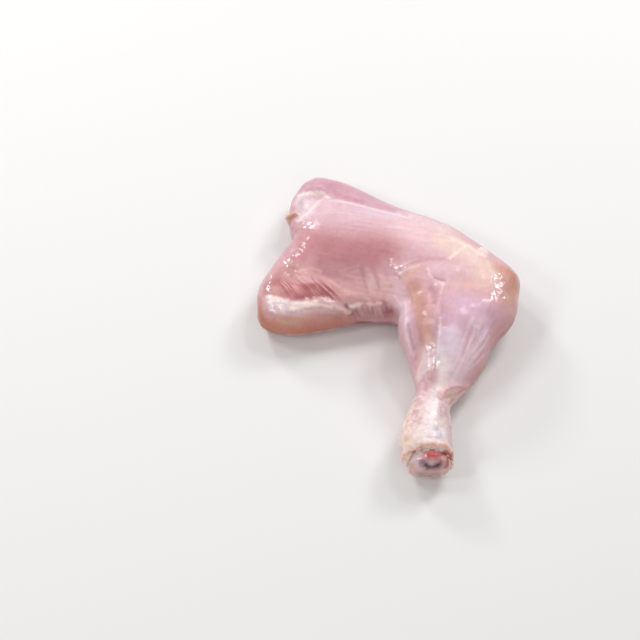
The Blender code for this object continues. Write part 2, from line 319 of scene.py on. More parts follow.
# folds of loose membrane toward the crotch, and its fine ripples above them
FOLD_RUN = np.array((3, -10)) / math.hypot(3, 10)
folds = streaks(-x * FOLD_RUN[1] + y * FOLD_RUN[0], x * FOLD_RUN[0] + y * FOLD_RUN[1], 2.3, 13, 6)
FOLD_PLACE = [(-19.2, 12), (-14, 11.9), (-7.8, 11.2)]
meat.push(0.2, 6.0, FOLD_PLACE, 3, through=folds - 0.5)
DARK_FOLDS = (
    [(-14.2, 19.9), (-13.5, 16.6), (-12.7, 13.4), (-11.7, 9.5), (-11, 6.7)],
    [(-8.2, 19), (-6.7, 15), (-6, 11.7), (-5.3, 9)],
)
PALE_FOLDS = (
    [(-11.4, 20.1), (-10.1, 16.2), (-8.6, 12.3), (-7.4, 8.4)],
    [(-4.7, 15.3), (-3.2, 11.6), (-2.7, 8)],
)
RIPPLES = (
    [(-25.9, 18.8), (-22.3, 19.7), (-19.1, 20.6), (-16, 21.5)],
    [(-23.3, 16.8), (-19.7, 17.9), (-16, 18.7)],
    [(-27, 15.3), (-22.8, 16), (-19.2, 15.8)],
)
for fold in DARK_FOLDS:
    meat.push(-0.16, 1.1, fold, wander=0.3)
for fold in PALE_FOLDS:
    meat.push(0.22, 1.2, fold, wander=0.3)
for ripple in RIPPLES:
    meat.push(0.07, 0.7, ripple, wander=0.3)
meat.push(0.2, 0.9, [(-30.1, 14.1), (-26.5, 10.9), (-22.4, 7.8), (-18.2, 6.5), (-14.1, 5.5)], wander=0.5)
# the fat along the rear edge
FAT_STRIP = [
    (-61.6, 2.5), (-57.9, 0.2), (-53.8, -1.7), (-49.7, -2.5), (-45.6, -1.8), (-41.4, -0.9), (-37.3, -0.2),
    (-33.2, -0.2), (-29.6, -0.8),
]
FAT_TAIL = [(-29.6, -0.8), (-26.5, -1.2), (-23.4, -1.9), (-20.8, -2.5, 18.7)]
FAT_THREAD = [(-19.8, -0.5, 20.8), (-16.7, 0.6), (-13.1, 1.2), (-9, 1), (-4.8, 1.7)]
shreds = streaks(y + 0.05 * x, x, 1.5, 5.5, 8)
clotted = np.clip(0.1 + 0.9 * shreds + 0.25 * lumpy + 0.15 * specks, 0, 1)
meat.push_each([
    (0.6, 2.6, FAT_STRIP, 5, 0.8, 0.6 + 0.4 * clotted),
    (0.25, 1.6, FAT_TAIL, 3, 0.8),
    (0.14, 0.9, FAT_THREAD, 2, 0.8),
])
# the raw edge between the fat and the crotch, hatched by cut fibres
RAW_EDGE = [
    (-20.3, -2.3, 18.8), (-15.6, -1.9, 17.3), (-10.9, -2, 16.5), (-5.8, -1.8, 17.2), (-1.7, -1, 17.8),
]
hatches = streaks(x + 0.35 * z, z, 1.3, 7, 10)
meat.push_each([
    (0.2, 4, RAW_EDGE, 4, 0, hatches - 0.5),
    (-0.25, 1.3, [(-21.9, -0.5), (-20.3, -2, 19.3), (-18.2, -2.4, 16.3)]),
    (-0.3, 1.5, [(-2.7, 2.1), (-1.2, 0.5, 19.2), (0.4, -1, 16.9)], 2, 0.4),
    # drumstick: the calf band beside the crotch, with its groove
    (-0.5, 1, [(1, 9.4), (1.2, 5.4), (1.4, 1.8), (1.8, -0.8, 16.6)]),
    (0.12, 1, [(10.2, 9.6), (11.6, 5.3), (12.5, 0.2), (12.6, -6.2)]),
    (0.3, 1.3, [(8, 0.4), (8, -9.3), (8.2, -17.4), (9.6, -24.5), (11.6, -31.7)]),
    (-0.4, 0.9, [(8.8, -15.2), (9.7, -19.5), (10.7, -24), (11.9, -28.3), (13.1, -33.1, 21.6)], 2, 0.2),
])
CROTCH_FOLD = [(2.4, 4.4), (4.4, 2.1), (5.9, -0.7)]
meat.push(0.2, 0.8, CROTCH_FOLD, wander=0.3)
# the folds of the knee
KNEE_FOLD = [(7.8, 19.6), (11.6, 22), (15.8, 23.2), (20.5, 24), (25.6, 23.9), (30.7, 23.3)]
LOWER_KNEE_FOLD = [(4.6, 18.7), (7.3, 20.2), (10.5, 22.6), (14.2, 24.2)]
HEAD_FOLD = [(20.4, 18.3), (20.8, 15.1), (22.3, 12.3), (24.7, 10), (27.6, 7.6)]
HEAD_SEAM = [(27.8, 6.6), (26.7, 3.9), (25.6, -0.1)]
LONG_SEAM = [(25.2, -2.5), (24.2, -7.1), (23.7, -10.5), (24.5, -14.3)]
for depth, fold in (
    (-0.3, KNEE_FOLD),
    (0.2, [(4.6, 14.5, 27.3), (7.7, 16.9), (11.4, 19.3), (15.6, 20.6), (20.3, 20.8)]),
    (0.2, LOWER_KNEE_FOLD),
    (0.3, [(32.6, 21.7), (33.8, 24.3), (36, 26.5), (37.8, 29.4)]),
    (0.25, HEAD_FOLD),
    (-0.35, [(22.5, 12.9), (24.5, 11.5), (26.5, 10.6), (28.5, 9.6)]),
    (0.2, HEAD_SEAM),
    (0.15, LONG_SEAM),
    (0.15, [(18.4, -7.2), (20.9, -8.2), (23.8, -9.3)]),
):
    meat.push(depth, 0.8, fold, wander=0.3)
meat.push_each([
    (0.5, 4, [(25.2, 17.4), (27.7, 15.7)]),
    (-0.25, 2.2, [(21.7, 4.8), (22.3, -1.5), (22, -5.6)]),
    # the shin's sinew and the bundles that run into it
    (0.3, 0.8, [(24.9, -16.9), (24.5, -22.4), (23.9, -27.2), (23.3, -31.7), (23.1, -35.1, 28.6)]),
])
SHIN_PALE = (
    [(41.1, -16.1), (38.7, -21.1), (36.3, -26.2), (34.5, -30.9)],
    [(43.1, -19.6), (41, -23.1), (39.4, -26.6)],
    [(48.5, -20, 28.1), (45.2, -24.9), (42, -29.9, 27), (38.8, -34.5, 25.8), (35.7, -38.5, 24.7)],
    [(49.7, -21.7, 25.3), (46.3, -27.1), (43, -31.3), (39.9, -35.3), (36.8, -38.9, 23.3)],
    [(46.3, -31.1, 22.3), (42.5, -35.5, 22.6), (38.4, -38.9), (34.7, -41.7, 22.2)],
    [(35.2, -32), (32.6, -37.1), (30.1, -41.8, 24.2)],
)
SHIN_DARK = (
    [(41.1, -21.1), (38.9, -25.6), (37.1, -30), (35.2, -33.7)],
    [(43.1, -21.3), (42.3, -24.6), (40.9, -28.1), (39.3, -31.1)],
    [(46.9, -24.6, 26), (43.1, -30.4), (39.4, -35)],
    [(46.9, -28.4, 23.5), (43.6, -33.1, 23.5), (39.9, -37.4), (35.8, -41, 21.9)],
    [(37.3, -32.2), (34.7, -36.4), (32.7, -40)],
)
for thread in SHIN_PALE:
    meat.push(0.14, 0.8, thread, wander=0.2)
for thread in SHIN_DARK:
    meat.push(-0.12, 0.8, thread, wander=0.2)
SHIN_ROOT = [(44.7, -24.1), (40.4, -31.7, 26.9), (35.2, -38.6)]
meat.push(0.12, 6.0, SHIN_ROOT, 3, through=shin_lines - 0.5)
# crinkled film where the light breaks: the kneecap, the crotch and the ankle
crinkle, finer_crinkle = meat.clouds(2.3, 11), meat.clouds(1.2, 12)
KNEE_SHINE = [(54.6, 10), (55.4, 6.1), (55.6, 2.1), (55.9, -2.2)]
meat.push_each([
    (0.3, 4.6, KNEE_SHINE, 4, 0, crinkle + 0.4 * finer_crinkle),
    (0.22, 3.2, [(3.2, 23.2), (4.2, 20.5), (5.7, 16.6)], 3, 0, crinkle + 0.35 * finer_crinkle),
    (0.9, 3.6, [(6.8, 21.2), (7.8, 18.3)]),
])
DROPLETS = (
    [(2.1, 21.2), (2.9, 20.7)],
    [(3.7, 22.2), (4.4, 21.1)],
    [(3.4, 19), (4.1, 18.3)],
    [(5.2, 19.7), (5.7, 18.8)],
    [(4.1, 16.6), (4.8, 15.9)],
    [(5.6, 14.7), (6.4, 14.3)],
    [(2.2, 24.1), (2.7, 23.8)],
)
for droplet in DROPLETS:
    meat.push(0.55, 1.1, droplet)
meat.push(0.2, 3.0, [(20.7, -33.1), (19.7, -36), (18.7, -39.4)], 4, through=crinkle + 0.35 * finer_crinkle)
KNEE_RIM = [(65.9, 2.9, 22.2), (65.8, -0.1, 21.1)]
meat.push(0.15, 1.8, KNEE_RIM, through=crinkle)
# the ankle: the edge of the shank's skin over the meat, with lobes of fat under it
SHEATH = [(25.6, -52.2), (26.9, -50.4), (29, -48.7), (31.6, -47.4), (34.2, -46.6), (36.9, -46.3, 16.8)]
meat.push(0.45, 0.9, SHEATH, wander=0.2)
meat.push(-0.3, 1.0, [(27, -51.4, 19.4), (28.5, -49.8, 19.6), (31.1, -48.2, 18.9), (33.9, -47, 17),
    (36.8, -45.5, 12.4)], wander=0.2)
LOBES = (
    [(28, -51.3, 18.7), (29.1, -50.5, 18.5)],
    [(30.2, -50, 17.6), (31.2, -49.4, 17.5)],
    [(30.3, -51.4, 15), (31.4, -50.5, 14.4)],
    [(28.7, -52.4), (29.2, -53.2, 15.1)],
)
for lobe in LOBES:
    meat.push(0.75, 1.1, lobe, wander=0.3)
meat.push(0.45, 0.9, [(15.4, -39.6, 20.6), (14.9, -42.1), (13.4, -44.3, 16.9)], wander=0.4)
meat.push(0.35, 0.9, [(16.3, -40.9, 20.9), (18.2, -40.6, 23.3), (19.1, -43.5)], wander=0.5)
# the shank's skin, goose-pimpled and creased
on_shank = np.clip((-47.5 - y + 0.10 * (x - 20)) / 3.0, 0, 1)
pimples = meat.clouds(1.6, 6)
meat.lift += on_shank * (0.20 * np.maximum(pimples, -0.2) + 0.22 * lumpy + 0.08 * specks)
CREASES = (
    [(10.9, -52.1, 12.2), (12.5, -56), (14.5, -55.8)],
    [(9.4, -59.5), (11.2, -62.3), (12.5, -66.3)],
    [(16.8, -45.4), (16.2, -48), (18, -51.4)],
    [(24.4, -54.5, 18.3), (27.1, -55.2, 15.6), (27.9, -59.4, 15)],
    [(21, -71.8), (22.9, -73.2), (24.2, -76.3)],
    [(8, -69.1), (9.2, -73.9), (8.5, -78)],
)
for crease in CREASES:
    meat.push(-0.3, 0.8, crease, wander=0.5)
# the torn edge of the skin at the cut
TORN_EDGE = [
    (4.6, -84, 9), (5.6, -83.6, 14), (8.5, -82.6, 18.5), (13, -82, 22), (18.5, -81.8, 23), (24, -82, 22),
    (28, -82.6, 18.5), (29.5, -83.6, 14), (29.6, -84.6, 9),
]
meat.push_each([
    (0.3, 1, TORN_EDGE, 2, 0.6),
    (-0.4, 0.9, [(px * 0.93 + 1.2, py + 2.6, pz) for px, py, pz in TORN_EDGE], 2, 0.5),
    # scraps at the hip and the knee
    (1.7, 1.5, [(-53.5, 61, 15), (-52, 60, 18), (-49.5, 60.5, 19)], 2, 0.3),
])
KNEE_SCRAP = [(48.4, 31, 28.7), (49.9, 30, 28.8), (51.9, 28.1, 28.7)]
meat.push(1.9, 1.3, KNEE_SCRAP, wander=0.3)

# ---- Colour: broad washes first, then each muscle, membrane, fat and sinew ----
meat.wash((221, 177, 183), on_drumstick)
meat.lay_each([
    ((233, 197, 205), 1, 11, [(-34, 61), (-12, 54), (8, 46), (22, 40)]),
    ((221, 178, 187), 0.7, 6, [(-30, 51), (-14, 47), (2, 42)]),
    ((194, 136, 139), 1, 10.5, [(-40, 38.5), (-30.5, 34.2), (-20.1, 32.2), (-9.6, 32.3), (-2.3, 31.4)]),
    ((184, 124, 129), 0.9, 7.5, [(-34.8, 27.4), (-25.4, 24.5), (-17, 25.2), (-9.7, 26)]),
    ((188, 136, 143), 0.8, 4.5, [(-33.7, 21.6), (-27.5, 20), (-21.2, 20.8), (-13.9, 20.9)]),
    ((210, 152, 157), 0.9, 6, [(-43.2, 45.9), (-44.2, 37.1), (-46.8, 30.6)]),
    ((212, 168, 174), 0.8, 3, [(-47.6, 49.3, 18.5), (-50.2, 41.2), (-53.2, 32.1), (-56.3, 25.4),
        (-60.4, 18.7)]),
    ((210, 140, 146), 0.6, 2.4, [(-40.6, 39.8), (-41.6, 33.5), (-46.8, 28.7)]),
    ((206, 148, 147), 0.9, 5, [(-56.7, 19.3), (-54.5, 14.4), (-50.4, 18.3)]),
    ((200, 148, 150), 0.8, 4, [(-30.6, 18.7), (-24.4, 16.7), (-20.2, 14.3)]),
    # the far muscle with its pale rim
    ((214, 172, 184), 1, 6.5, [(-44, 82), (-33, 81), (-19, 76), (-5, 69), (8, 62)], 4),
    ((216, 164, 178), 0.8, 3, [(-34.7, 80.7), (-28.7, 79.8), (-23.8, 78.1), (-19.5, 72.8)]),
    ((204, 150, 166), 0.7, 1.8, [(-27.6, 76), (-23.3, 73), (-18.4, 70.6), (-13.1, 68.5)], 2, 0.4),
    ((238, 206, 214), 0.5, 1.8, [(-46, 84, 12), (-34, 88, 14), (-18, 83, 14), (0, 71, 14), (18, 60, 16)]),
])
# the milky membrane over the hip
hazy = np.clip(0.7 + 0.35 * lumpy + 0.2 * specks, 0, 1)
meat.lay_each([
    ((236, 216, 222), 1, 5.8, [(-46, 70), (-42, 67), (-45, 60)], 5, 0.7, hazy),
    ((220, 206, 212), 0.6, 1.5, [(-48.3, 71.2), (-47.2, 67.3), (-45.5, 64.8)], 2, 0.8),
    ((214, 196, 208), 0.5, 1, [(-45.6, 71.2), (-42.3, 71.8), (-39.6, 70.9)], 2, 0.6),
    ((206, 180, 190), 0.5, 0.8, [(-49.9, 64.2), (-47.7, 61.5), (-45, 63)], 2, 0.6),
    ((254, 238, 232), 0.95, 1.3, [(-47.2, 74.3), (-44, 74.7), (-39.1, 76.2), (-34.7, 76.2),
        (-31.4, 73.1)], 2, 0.5),
    ((252, 236, 234), 0.85, 1.2, [(-46.5, 55.8), (-45, 59), (-41.7, 62.4), (-38.5, 66.6), (-35.8, 69.7),
        (-32.5, 73.1, 17.4)], 2, 0.6),
    ((230, 190, 192), 0.7, 0.9, [(-49.8, 50.7, 15.6), (-48.7, 52.8), (-47.1, 55.1)]),
    ((206, 150, 150), 0.6, 1, [(-52, 57.3, 15), (-50.9, 53, 15.3)], 2, 0.3),
])
# the silvery shoulder: streaks of silvery membrane with a painted sheen over them, and thin painted
# highlights along its ridge
silver_and_sheen = np.clip(0.35 + 0.9 * thigh_lines, 0, 1)
meat.lay_each([
    ((240, 216, 226), 0.8, 2.4, [(-31, 70.5), (-22, 67), (-9, 62.5), (0, 59.5), (9, 57)], 2, 0, silver_and_sheen),
    ((234, 206, 222), 0.9, 4.2, [(-13.3, 57.3), (-6.4, 56.6), (0.5, 55.3), (7, 56.3)], 2, 0, silver_and_sheen),
    # thin painted highlights along the shoulder's ridge
    ((248, 232, 240), 0.8, 0.7, [(-20, 66.5), (-8, 62.5), (2, 58.5), (12, 56)], 2, 0.3),
    ((248, 232, 240), 0.7, 0.6, [(-3, 62), (6, 59.5), (14, 56)], 2, 0.3),
    ((236, 210, 222), 0.35, 9, [(-25, 60), (-5, 54), (10, 49)], 2, 0, thigh_lines),
    # the rear muscle's bundles and the peach membrane that bounds them
    ((184, 116, 116), 1, 6, [(-59.1, 10.7), (-52.9, 8.4), (-46.1, 7.2), (-38.9, 7.2), (-32.2, 5.7)], 4),
    ((160, 90, 94), 0.9, 4.4, [(-40.5, 8.6), (-35.8, 5.5), (-31.7, 3.2)], 3),
    ((168, 98, 102), 0.8, 2.2, [(-47.6, 2.9), (-43, 2.9), (-37.9, 2.3)], 3, 0.6),
    ((154, 84, 92), 0.7, 6.5, BUNDLE_PLACE, 3, 0, np.clip(1.8 * (0.48 - bundles), 0, 1)),
    ((222, 168, 164), 1, 6.5, BUNDLE_PLACE, 3, 0, ridges),
    ((206, 150, 148), 0.9, 4, [(-61.8, 10.4), (-58.1, 8.5)]),
    ((210, 156, 154), 0.9, 2.8, [(-53.1, 23.9), (-47.9, 23.3), (-42.6, 21.5), (-37.4, 19.8)], 3, 0.3),
    ((222, 170, 166), 0.8, 1.5, PEACH_ARC, 2, 0.4),
    ((228, 182, 178), 0.6, 0.7, [(-41.6, 22.5), (-38.4, 21.5), (-35.3, 19.9)], 2, 0.4),
    ((228, 182, 178), 0.6, 0.7, [(-30.1, 14.1), (-27, 11.2), (-23.9, 8.9), (-20.8, 6.9)], 2, 0.3),
    ((202, 152, 148), 0.9, 4.5, [(-23.4, 4.3), (-18.2, 3.7), (-12, 4), (-6.4, 4.5)]),
    ((206, 158, 158), 0.8, 4, [(-23.3, 12.7), (-19.2, 10.9), (-16.1, 9.6)]),
    ((214, 174, 172), 0.8, 4, [(-7.8, 11.2), (-4.8, 8), (-1.7, 7.2)]),
    ((226, 184, 182), 0.7, 1.8, [(-11, 8.3), (-7.9, 6), (-4.8, 5)], 2, 0.5),
    ((224, 184, 180), 0.8, 2.8, [(-2.1, 11.2), (-0.1, 9.3), (-0.6, 4.3)]),
])
# painted shade in the sunk folds; the raised folds and the ripples are paler
for fold in DARK_FOLDS:
    meat.lay((178, 128, 134), 0.5, 1.1, fold, wander=0.3)
for fold in PALE_FOLDS:
    meat.lay((220, 176, 176), 0.4, 1.2, fold, wander=0.5)
for ripple in RIPPLES:
    meat.lay((210, 162, 166), 0.4, 0.7, ripple, wander=0.4)
meat.lay((222, 176, 172), 0.7, 0.9, [(-26.5, 10.9), (-22.4, 7.8), (-18.2, 6.2), (-14.1, 5),
    (-10.5, 3.5)], wander=0.5)
# the rear flank: its peach-brown colour, with painted shade, darker toward the table where it turns down
rear = np.clip((0.85 - meat.out[:, 2]) / 0.45, 0, 1) * np.clip((15 - y) / 22, 0, 1)
rear *= np.clip((-9 - x) / 18, 0, 1)
rear *= np.clip(0.9 + 0.3 * lumpy, 0, 1)
meat.wash((216, 154, 140), rear)
# painted shade: darker low on the flank, darkest next to the table
meat.wash((196, 122, 96), 0.95 * rear * np.clip((18 - z) / 5, 0, 1))
meat.wash((118, 38, 28), 0.95 * rear * np.clip((11 - z) / 7, 0, 1))
meat.lay_each([
    ((192, 120, 96), 0.8, 2.6, [(-67.5, 4.4, 17.2), (-66.9, -0.9, 16.7), (-65.8, -4.3, 14.3)], 2, 0.4),
    # a painted highlight: a yellowish streak along the top of the rear flank
    ((216, 172, 140), 0.7, 1.4, [(-58.4, -6.2, 19.1), (-53.3, -7.7, 19.5), (-47.6, -7.5, 20.2),
        (-42, -7.4, 19.1)], 2, 0.6),
    ((206, 160, 150), 0.7, 2.2, [(-39.9, -4.4), (-35.8, -4.6), (-31.7, -4.5, 20.3),
        (-27.5, -4.4, 18.3)], 2, 0.4),
    ((196, 142, 112), 0.7, 1.6, [(-27.5, -5.2, 16.7), (-22.9, -4.1, 16), (-18.2, -3.2, 14.6)], 2, 0.4),
    ((196, 146, 146), 1, 4.6, [(-17, -2, 17), (-8, -2, 16), (0, -1, 16)], 3, 0.5),
    # painted shade at the foot of the flank, next to the table
    ((110, 42, 40), 0.9, 4, [(-15, -4, 6), (-7, -3, 5), (0, -3, 5)], 3),
    ((216, 176, 176), 0.5, 4.2, RAW_EDGE, 4, 0, np.clip(2.6 * (hatches - 0.62), 0, 1)),
    ((158, 104, 108), 0.5, 4.2, RAW_EDGE, 4, 0, np.clip(2.2 * (0.4 - hatches), 0, 1)),
    # painted shade in the two notches at the ends of the raw edge
    ((150, 100, 106), 0.6, 1.4, [(-3.2, 2), (-1.7, 0.9), (-0.1, -0.8, 17.5)], 2, 0.6),
    ((150, 100, 106), 0.8, 1, [(-22.4, -0.2), (-20.8, -1.7, 19.8), (-19.3, -2.5, 17.3)], 2, 0.5),
    # the fat along the rear edge
    ((222, 186, 184), 0.9, 3.3, FAT_STRIP, 5, 0.7),
    ((232, 206, 212), 1, 2.6, FAT_STRIP[:5], 5, 1),
    ((232, 206, 212), 0.9, 2, [(-61, -1.6), (-57.4, -3.3), (-53.3, -4.3, 22.8)], 4, 0.7),
    ((250, 232, 224), 0.95, 2.7, FAT_STRIP, 5, 1.2, np.clip(2.2 * (clotted - 0.45), 0, 1)),
    ((252, 234, 226), 0.9, 1.2, [(-63.2, 5), (-60.1, 3.7), (-56.4, 2), (-52.8, 0.6)], 3, 0.5),
    ((252, 232, 222), 0.9, 1.6, [(-49.1, -2.8), (-45.6, -2.3), (-42, -1.2), (-38.4, -0.2)], 3, 0.8),
    ((230, 196, 198), 0.7, 1.8, [(-46.1, -4.4), (-39.4, -3.2, 23), (-35.8, -2.2, 23.4), (-32.2, -2.5, 22.9),
        (-28.6, -2.9, 20.7)], 2, 0.5),
    ((238, 208, 200), 0.85, 1.3, FAT_TAIL, 3, 1),
    ((234, 200, 196), 0.75, 1, FAT_THREAD, 3, 1),
    ((244, 220, 212), 0.8, 1.1, [(-19.3, -0.5, 20.8), (-17.2, 0.1, 20.8), (-15.7, 0.6)], 2, 0.6),
    # the knee
    ((238, 214, 214), 0.9, 5, [(14, 57), (24, 51), (31, 45)]),
    ((243, 209, 210), 0.8, 8, [(8, 46), (20, 40), (30, 34)]),
    ((243, 216, 206), 0.95, 6.5, [(30.4, 36.9), (37.4, 31), (43.2, 25.1), (47.4, 18.1), (49.5, 10.6)]),
    ((232, 190, 182), 0.8, 5, [(37, 6.5), (43, 5.5), (48.7, 6.2)]),
    ((238, 204, 192), 0.7, 3.5, [(45.7, 15.5), (50.9, 16.7), (54.8, 13.9)]),
    ((218, 162, 148), 0.9, 5, [(57.3, 17.4), (60.5, 11.2), (61.2, 4.8), (60.2, -2.8, 28.9)]),
    ((202, 140, 120), 0.85, 3.6, [(63.2, 16.7), (65, 10.7, 26.3), (65.4, 5.2, 23.4),
        (65.1, -0.4, 22.6)], 2, 0.6),
    ((222, 160, 128), 0.7, 1.4, [(64.3, 9.7, 26.9), (64.9, 6.7, 25), (64, 2.8, 25.1)], 2, 0.4),
    ((228, 164, 162), 0.7, 2, [(44.5, -2), (48.5, -2.7), (52.1, -3.8), (55.2, -4.8)], 2, 0.8),
    ((228, 170, 168), 0.6, 1.3, [(56.2, 22.3), (58.8, 21.6), (60.8, 19.7)], 2, 0.5),
    ((252, 232, 222), 0.8, 1.3, [(32, 24.5), (35, 27.5), (38.5, 31), (42, 33)], 2, 0.5),
    ((252, 234, 222), 0.8, 1.8, [(33.6, 38.3), (39.2, 34.9), (44.7, 30), (49.7, 26.1)], 2, 0.7),
    ((250, 222, 208), 0.6, 1.4, [(51.3, 21.4), (52, 16.7), (53.3, 13.9)], 2, 0.6),
    ((250, 220, 210), 0.6, 1.2, [(47.6, 12.7), (48.4, 10.2)], 2, 0.5),
    # the muscles and folds of the drumstick's head
    ((232, 194, 202), 0.9, 5, [(24.3, 19), (28.3, 17), (29.7, 13.8)]),
    ((240, 206, 210), 0.7, 3, [(35.5, 17), (38.7, 18.4), (40.5, 14.5)]),
    ((222, 180, 182), 0.8, 3.6, [(11.9, 16.8), (16, 14.7), (17.9, 10.6)]),
    ((228, 184, 172), 0.8, 2.6, [(8.2, 12.9), (10.8, 15), (14, 17.9)], 2, 0.5),
    # painted shade in the sunk knee fold
    ((216, 172, 176), 0.6, 1.3, KNEE_FOLD, 2, 0.4),
    ((244, 216, 214), 0.5, 0.8, [(4.6, 14.5, 27.3), (7.7, 16.9), (11.4, 19.3), (15.6, 20.6)], 2, 0.4),
    ((244, 216, 214), 0.5, 0.8, LOWER_KNEE_FOLD, 2, 0.4),
    ((206, 152, 146), 1, 4.2, [(12.2, 7.9), (14.5, 2), (15.5, -7.4), (16.1, -15.1), (16.5, -21),
        (16.9, -25.4)], 3, 0.4),
    ((210, 158, 146), 0.6, 2.6, [(11.2, 10.1), (12.7, 5.7), (14, 0.1), (14.5, -7.5)]),
    ((208, 160, 146), 0.6, 3.2, [(13.2, 8.9), (15, 1), (16.3, -11.4), (17.5, -19.7), (18.8, -26.8)], 3),
    ((198, 144, 142), 0.7, 1.8, [(16.6, -4.5), (17.2, -11.7), (17, -16.5)], 2, 0.4),
    ((208, 166, 162), 0.8, 1.6, [(20.6, -13.2), (21, -15.7)], 2, 0.3),
    ((226, 190, 180), 0.8, 1.9, [(18.3, -25.3), (18.8, -28.2), (17.8, -29.8)], 2, 0.5),
    ((196, 146, 154), 0.9, 2.6, [(21.3, 6.4), (22.5, 1), (22.5, -5.7)], 2, 0.5),
    ((204, 156, 166), 0.8, 2.2, [(21.5, -16.3), (22.3, -20.8), (22.2, -24.8)], 2, 0.4),
    ((228, 182, 180), 0.8, 1, [(20, 1.8), (20.2, -3.5), (20, -5.9)], 2, 0.3),
    ((206, 158, 166), 0.9, 2.2, [(26.2, -2.5), (25.8, -8.5), (27.1, -13.6)], 2, 0.4),
    ((204, 160, 176), 0.8, 3.6, [(28.1, -14.3), (28.4, -18.9), (29.3, -23)], 2, 0.5),
    ((244, 212, 212), 0.8, 0.7, HEAD_FOLD, 2, 0.2),
    # painted shade in the crease under the head fold
    ((182, 134, 142), 0.6, 0.7, [(23, 12.2), (25, 11.1), (27, 10.1), (28.5, 9.6)], 2, 0.2),
    ((246, 214, 216), 0.8, 1, [(27.4, 8.1), (28.4, 7.2)], 2, 0.3),
    ((240, 204, 210), 0.8, 0.7, HEAD_SEAM, 2, 0.3),
    ((230, 188, 196), 0.7, 0.6, LONG_SEAM, 2, 0.3),
    ((228, 186, 190), 0.7, 0.7, [(18.9, -7.3), (21.3, -8.3), (23.8, -9.3)], 2, 0.3),
    # the calf muscle's pale band
    ((224, 188, 194), 1, 4, [(5.5, 7.4), (6.5, 2.4), (7.2, -6, 24.5), (7.3, -15.5), (8.7, -23.3, 24.9),
        (10.1, -29, 22.6)], 3),
    ((226, 200, 214), 0.8, 2.2, [(4.9, 0.5), (5.7, -6.9, 23), (6.8, -15.8, 26.4)], 2, 0.3),
    ((240, 214, 222), 0.7, 1, [(8, 0.4), (8, -9.3), (8.2, -17.4)], 2, 0.3),
    ((236, 206, 212), 0.8, 0.8, [(7.3, -18.1, 26.2), (8.7, -24.1, 24.3), (10.1, -29.8, 22)], 2, 0.3),
    ((228, 190, 188), 0.25, 0.9, [(10.7, 9), (11.9, 4.7), (12.7, -0.7), (12.6, -6.2)], 2, 0.2),
    ((236, 206, 210), 0.7, 0.6, CROTCH_FOLD, 2, 0.3),
    ((216, 180, 196), 0.7, 1.6, [(10.2, -6.2), (10.4, -12.3), (10.3, -16.7)], 2, 0.3),
    # painted shade in the calf band's groove
    ((190, 146, 160), 0.8, 0.9, [(8.8, -15.8), (9.7, -20.1), (10.7, -24), (11.6, -27.9)], 2, 0.2),
    ((216, 172, 180), 0.9, 1.8, [(12.1, -21.3), (13.1, -26.8, 25.7), (14, -32, 23.6)], 2, 0.3),
    ((214, 150, 148), 0.6, 0.9, [(12.6, -30.8), (13, -34.6), (13, -37.8)], 2, 0.3),
    # the shin muscles: lavender, running into a blue-white sinew
    ((220, 182, 198), 1, 7.5, [(33, -5.7), (38, -7.7), (43, -8.1)]),
    ((222, 184, 206), 0.8, 4, [(36.8, -10.2), (40.8, -12.2), (44.9, -12.4)]),
    ((220, 182, 200), 0.9, 5, [(30.5, -16.7), (33.4, -18.8), (36.5, -16.5)]),
    ((244, 213, 227), 0.9, 6, [(46.9, -18.4, 30.4), (41.5, -27.1), (36.2, -34.1)]),
    ((218, 172, 186), 0.8, 4, [(48.1, -8.6), (52.3, -9.9), (52.2, -15.2, 29.1)]),
    ((240, 220, 238), 0.7, 4.2, [(28.2, -25), (28.6, -28.8), (29.1, -32.3)], 4, 0.3),
    ((242, 220, 234), 0.8, 4, [(31.3, -23.9), (32.2, -29.4), (31.6, -34.7)], 3, 0.3),
])
for thread in SHIN_PALE:
    meat.lay((250, 228, 238), 0.6, 0.9, thread, wander=0.3)
for thread in SHIN_DARK:
    meat.lay((196, 154, 168), 0.5, 0.8, thread, wander=0.3)
meat.lay_each([
    ((240, 214, 226), 0.4, 6, SHIN_ROOT, 3, 0, np.clip(1.8 * (shin_lines - 0.5), 0, 1)),
    ((238, 226, 238), 0.7, 0.7, [(24.7, -16.9), (24.4, -21.3), (24.2, -25.4)], 2, 0.2),
    ((240, 228, 240), 0.7, 1.3, [(24.2, -24.5), (23.9, -28.2), (23.6, -31.7), (23.6, -35.2)], 2, 0.2),
])
RUNGS = (
    [(29.2, -24.9), (31.7, -24.6), (34.3, -24.6)],
    [(29.7, -27.3), (32.2, -26.9), (34.8, -26.6)],
    [(30.7, -29), (32.7, -28.9), (35.2, -28.6)],
)
for rung in RUNGS:
    meat.lay((234, 214, 226), 0.7, 0.5, rung, wander=0.2)
meat.lay((250, 226, 226), 0.9, 0.9, [(30.6, -33.5), (31.1, -33.9)])
# the near flank: rosier and darker where it turns down, partly its own colour and partly painted shade, and
# painted shade darker still toward the table
outer = np.clip((0.62 - meat.out[:, 2]) / 0.7, 0, 1) * np.clip(2 * meat.out[:, 0], 0, 1)
outer *= np.clip((y + 50) / 14, 0, 1) * np.clip((20 - y) / 16, 0, 1) * np.clip(0.85 + 0.25 * lumpy, 0, 1)
meat.wash((202, 130, 126), 0.85 * outer)
